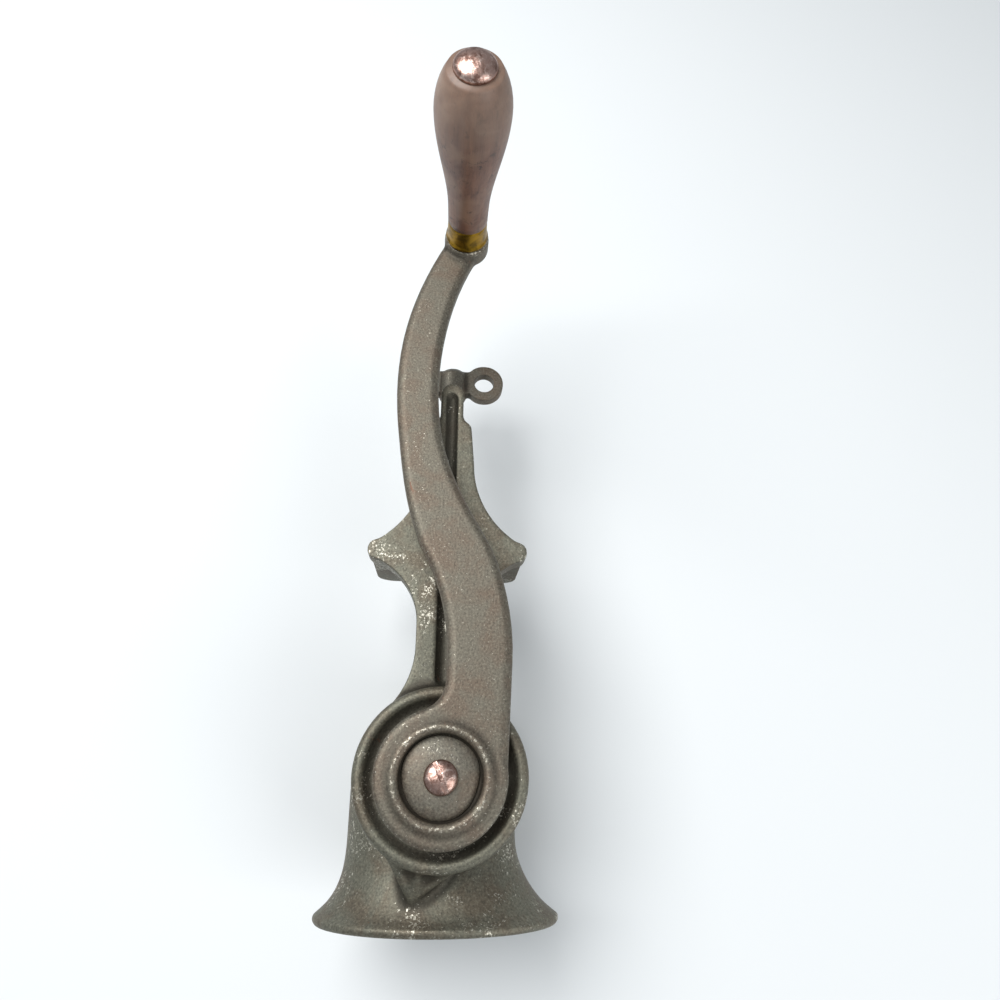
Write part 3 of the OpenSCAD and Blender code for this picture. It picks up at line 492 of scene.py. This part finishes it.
# Body casting: hopper, barrel, leg and clamp poured as one, then bored and faced

FACE_Y = -29.5
PLATE_SEAT = 36.0
casting = copy_of("body_casting", "hopper", "barrel", "clamp_frame")
cast_skin(casting, 0.62 * MM, 1.5 * MM, 7)
casting_relief = relief(casting, 10)
# What the lathe and the drill left crisp
cut(casting, turned("front_bore", [(0, -45), (7.05, -45), (7.05, -19), (20, -19), (20, PLATE_SEAT),
                                   (24.4, PLATE_SEAT), (24.4, 50), (0, 50)], SHAFT))
cut(casting, rod("key_hole", 1.52, PLATE_SEAT - 4, 50, SHAFT @ Matrix.Translation((0, 22.2 * MM, 0)), 24))
cut(casting, rod("screw_hole", 4.75, -70, -30, Matrix.Translation((0, 4 * MM, 0)), 48))
thinned(casting, 190000)
note_wear(casting, casting_relief, 0.20 * MM)
smooth_shaded(casting)
finished(casting, body_iron, "casting", "tinned_iron", "hopper", "barrel", "clamp_frame")

# Thread on the barrel's mouth, seen when the ring nut is off
mouth_thread = grown(rod("mouth_thread", 27.2, 30.4, 41.4, SHAFT), thread_ridge, Thread_Radius=27.4 * MM,
                     Pitch=3 * MM, Turns=3.3, Ridge=0.6 * MM, Start=(0, 30.8 * MM, SHAFT_Z),
                     Lean=(-math.pi / 2, 0, 0), Finish=body_iron)
cut(mouth_thread, rod("mouth_bore", 25.2, 20, 50, SHAFT))
finished(smooth_shaded(mouth_thread), body_iron, "casting", "tinned_iron")

# Crank: one casting, its arm smooth from use
crank = copy_of("crank_casting", "crank_arm")
cast_skin(crank, 0.5 * MM, 0.9 * MM, 5)
crank_relief = relief(crank, 10)
thinned(crank, 120000)
note_wear(crank, crank_relief, 0.13 * MM)
smooth_shaded(crank)
finished(crank, crank_iron, "crank", "worn_iron", "crank_arm")

# Feed screw, as cast
feed = copy_of("feed_casting", "feed_screw")
cast_skin(feed, 0.6 * MM, 0.8 * MM, 4)
feed_relief = relief(feed, 8)
thinned(feed, 70000)
note_wear(feed, feed_relief, 0.15 * MM)
smooth_shaded(feed)
finished(feed, small_iron, "crank", "worn_iron", "feed_screw")

# Ring nut: a lathe blank with its grip flutes cut round it, then softened as cast
nut_low, nut_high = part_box("ring_nut")
nut_front, nut_end = nut_low.y / MM, nut_high.y / MM
nut_r = (nut_high.z - nut_low.z) / 2 / MM
nut = turned("ring_nut_casting", [
    (28.4, nut_front), (nut_r - 1.2, nut_front), (nut_r, nut_front + 1.2), (nut_r, nut_end - 4),
    (nut_r - 1.4, nut_end - 1.6), (nut_r - 4, nut_end), (22.5, nut_end), (21, nut_end - 1.2),
    (21, PLATE_SEAT + 6), (28.4, PLATE_SEAT + 6)], SHAFT, 128)
grown(nut, ring_of_cuts, Count=16, Ring_Radius=(nut_r + 1.6) * MM, Cutter_Radius=3.1 * MM, Cutter_Sides=24,
      Cutter_Length=60 * MM, Turn=0.0, Middle=(0, (nut_front + nut_end) / 2 * MM, SHAFT_Z), Finish=body_iron)
cast_skin(nut, 0.5 * MM, 0, 4)
nut_relief = relief(nut, 8)
thinned(nut, 90000)
note_wear(nut, nut_relief, 0.16 * MM)
smooth_shaded(nut)
finished(nut, body_iron, "ring", "tinned_iron", "ring_nut")

# Plate: a turned disc with three rings of holes, its stud bore and the key's notch
plate = turned("perforated_plate", [
    (4.05, PLATE_SEAT + 0.3), (4.35, PLATE_SEAT), (23.9, PLATE_SEAT), (24.2, PLATE_SEAT + 0.3),
    (24.2, PLATE_SEAT + 5.7), (23.9, PLATE_SEAT + 6), (4.35, PLATE_SEAT + 6), (4.05, PLATE_SEAT + 5.7)],
    SHAFT, 128)
for orbit, count in ((8.0, 10), (12.7, 17), (17.4, 23)):
    grown(plate, ring_of_cuts, Count=count, Ring_Radius=orbit * MM, Cutter_Radius=1.8 * MM, Cutter_Sides=28,
          Cutter_Length=20 * MM, Turn=math.pi / count, Middle=(0, (PLATE_SEAT + 3) * MM, SHAFT_Z), Finish=steel)
cut(plate, rod("key_notch", 1.8, PLATE_SEAT - 5, PLATE_SEAT + 12, SHAFT @ Matrix.Translation((0, 22.4 * MM, 0)), 32))
cut(plate, rod("key_way", 1.8, PLATE_SEAT - 5, PLATE_SEAT + 12, SHAFT @ Matrix.Translation((0, 24.2 * MM, 0)), 32))
finished(smooth_shaded(plate, 30), steel, "plate", "bright_steel", "grinding_plate")

# Thumbscrew: threaded stem, collar and the flat head with its two eyes
screw_low, screw_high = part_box("clamp_screw")
stem_at = Matrix.Translation((0, 4 * MM, 0))
head = copy_of("thumbscrew", "clamp_screw")
cut(head, turned("stem_waste", [(4.15, -69.5), (8, -69.5), (8, -12.5), (4.15, -12.5)], stem_at, 64))
cast_skin(head, 0.4 * MM, 0.8 * MM, 4)
screw_relief = relief(head, 8)
grown(head, thread_ridge, Thread_Radius=4.1 * MM, Pitch=2 * MM, Turns=28.0, Ridge=0.6 * MM,
      Start=(0, 4 * MM, -69.3 * MM), Lean=(0, 0, 0), Finish=small_iron)
thinned(head, 110000)
note_wear(head, screw_relief, 0.12 * MM)
smooth_shaded(head)
finished(head, small_iron, "screw", "worn_iron", "clamp_screw")

# Washer in the hub: pressed from sheet, its edge out of round, so that the recess shows dark beside it
washer_low, washer_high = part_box("crank_washer")
seat, washer_r = washer_high.y / MM, (washer_high.x - washer_low.x) / 2 / MM
washer = turned("hub_washer", [
    (3.4, seat - 1.7), (6.5, seat - 1.7), (9.5, seat - 1.0), (washer_r - 0.9, seat - 0.2),
    (washer_r, seat - 0.1), (washer_r, seat - 1.0), (washer_r - 0.5, seat - 1.5), (washer_r - 1.6, seat - 2.0),
    (9, seat - 2.6), (6.5, seat - 3.05), (3.4, seat - 3.1)], SHAFT, 120)
for v in washer.data.vertices:
    angle = math.atan2(v.co.z - SHAFT_Z, v.co.x)
    reach = math.hypot(v.co.x, v.co.z - SHAFT_Z)
    if reach > 8.5 * MM:
        dent = 0.55 * max(0, math.cos(angle - 0.35)) ** 6 + 0.8 * max(0, math.cos(angle - 2.9)) ** 8
        inset = 1 - (dent + 0.12 * math.sin(3 * angle + 1)) * MM / reach
        v.co.x *= inset
        v.co.z = SHAFT_Z + (v.co.z - SHAFT_Z) * inset
finished(smooth_shaded(washer), small_iron, "crank", "worn_iron", "crank_washer")

# Hub screw: domed head with a filed slot
head_low, head_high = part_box("crank_screw")
crown = head_low.y / MM
screw = turned("hub_screw", [(0, crown + 19), (3, crown + 19), (3, crown + 3.4), (5.0, crown + 3.4)] + [
    (5.4 * math.sin(math.radians(a)), crown + 2.7 - 2.7 * math.cos(math.radians(a))) for a in range(90, -1, -10)],
    SHAFT, 72)
slot_mesh = bpy.data.meshes.new("slot_tool")
work = bmesh.new()
bmesh.ops.create_cube(work, size=1, matrix=Matrix.Translation((0, crown * MM, SHAFT_Z))
                      @ Matrix.Rotation(math.radians(-24), 4, "Y") @ Matrix.Diagonal((1.4 * MM, 3.4 * MM, 20 * MM, 1)))
work.to_mesh(slot_mesh)
work.free()
slot_tool = add_piece("slot_tool", slot_mesh)
cut(screw, slot_tool)
with_modifier(screw, "BEVEL", width=0.12 * MM, segments=2, limit_method="ANGLE")
finished(smooth_shaded(screw, 50), pink_metal, "crank", "pink_steel", "crank_screw")

# Handle: spindle with its domed head, turned grip, rolled ferrule
spindle_base, spindle_tip = -boss_high.y / MM, -boss_low.y / MM
grip_low, grip_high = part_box("handle_grip")
grip_base, grip_tip = -grip_high.y / MM, -grip_low.y / MM
grip_r = (grip_high.x - grip_low.x) / 2 / MM
spindle = turned("handle_pin", [(0, spindle_base), (3.6, spindle_base), (4.4, spindle_base + 0.7),
                 (3.0, spindle_base + 1.6), (3.0, grip_tip - 0.1), (6.6, grip_tip - 0.1), (7.0, grip_tip + 0.5)] + [
    (7.0 * math.sin(math.radians(a)), grip_tip + 0.6 + (spindle_tip - grip_tip - 0.6) * math.cos(math.radians(a)))
    for a in range(80, -1, -8)], HANDLE, 72)
finished(smooth_shaded(spindle, 50), pink_metal, "crank", "pink_steel", "handle_spindle")

grip = copy_of("wooden_grip", "handle_grip")
finished(smooth_shaded(grip, 50), wood, "grip", "old_wood", "handle_grip")
ferrule = copy_of("rolled_ferrule", "handle_ferrule")
finished(smooth_shaded(ferrule, 50), brass, "grip", "old_brass", "handle_ferrule")

# CAD nodes whose shape is right get only a finish
for node, material in (("thrust_washer", steel), ("knife_stud", steel), ("cutter_knife", steel),
                       ("plate_key", steel), ("clamp_pad", small_iron)):
    nodes[node].data.materials.clear()
    nodes[node].data.materials.append(material)


# Camera at the photograph's angle: it looks down on the crank side, the hopper at the foot of the picture
camera_data = bpy.data.cameras.new("photo_camera")
camera_data.sensor_width = 36
camera_data.lens = 751 / 1000 * 36
camera_data.clip_start = 0.01
camera = bpy.data.objects.new("photo_camera", camera_data)
bpy.context.scene.collection.objects.link(camera)
right, up, forward = Vector((-0.99719, -0.07454, -0.00697)), Vector((0.03148, -0.33303, -0.94239)), \
    Vector((-0.06793, 0.93997, -0.33444))
turn = Matrix((right, up, -forward)).transposed().to_4x4()
camera.matrix_world = Matrix.Translation((0.0002, -0.2882, 0.0776)) @ turn
bpy.context.scene.camera = camera

# Floor: the pale table that the grinder lies on, behind it in this frame; nothing to see from its back
floor_y = 46 * MM
floor_mesh = bpy.data.meshes.new("floor")
floor_mesh.from_pydata([(-3, floor_y, -3), (3, floor_y, -3), (3, floor_y, 3), (-3, floor_y, 3)], [], [(0, 1, 2, 3)])
floor = add_piece("floor", floor_mesh)
floor_material, tree = new_material("pale_floor")
matt = put(tree, "ShaderNodeBsdfDiffuse", {}, {"Color": linear("#dfe2e3")})
clear = put(tree, "ShaderNodeBsdfTransparent")
side = put(tree, "ShaderNodeNewGeometry").outputs["Backfacing"]
mixed = put(tree, "ShaderNodeMixShader", {}, {}, {"Fac": side})
tree.links.new(matt.outputs[0], mixed.inputs[1])
tree.links.new(clear.outputs[0], mixed.inputs[2])
put(tree, "ShaderNodeOutputMaterial", {}, {}, {"Surface": mixed.outputs[0]})
floor_mesh.materials.append(floor_material)

# Soft studio light: a big overhead panel, a weaker one from the hopper's side, and a pale room
def panel(name, place, aim, size, watts):
    data = bpy.data.lights.new(name, "AREA")
    data.shape, data.size, data.energy = "SQUARE", size, watts
    lamp = bpy.data.objects.new(name, data)
    bpy.context.scene.collection.objects.link(lamp)
    lamp.location = place
    lamp.rotation_euler = (Vector(aim) - Vector(place)).to_track_quat("-Z", "Y").to_euler()


panel("key_panel", (0.35, -0.75, -0.25), (0, 0, 0.05), 0.6, 9)
panel("fill_panel", (-0.6, -0.5, 0.5), (0, 0, 0.05), 0.7, 4)
panel("back_panel", (0.2, 0.8, 0.7), (0, 0, 0.05), 0.8, 6)
world = bpy.data.worlds.new("pale_room")
bpy.context.scene.world = world
world.use_nodes = True
tree = world.node_tree
tree.nodes.clear()
ray = put(tree, "ShaderNodeLightPath")
room = put(tree, "ShaderNodeBackground", {}, {"Color": linear("#c3c9ce"), "Strength": 0.55})
shown = put(tree, "ShaderNodeBackground", {}, {"Color": linear("#e6e9ea"), "Strength": 1.0})
mixed = put(tree, "ShaderNodeMixShader", {}, {}, {"Fac": ray.outputs["Is Camera Ray"]})
tree.links.new(room.outputs[0], mixed.inputs[1])
tree.links.new(shown.outputs[0], mixed.inputs[2])
put(tree, "ShaderNodeOutputWorld", {}, {}, {"Surface": mixed.outputs[0]})
bpy.context.scene.view_settings.view_transform = "Standard"
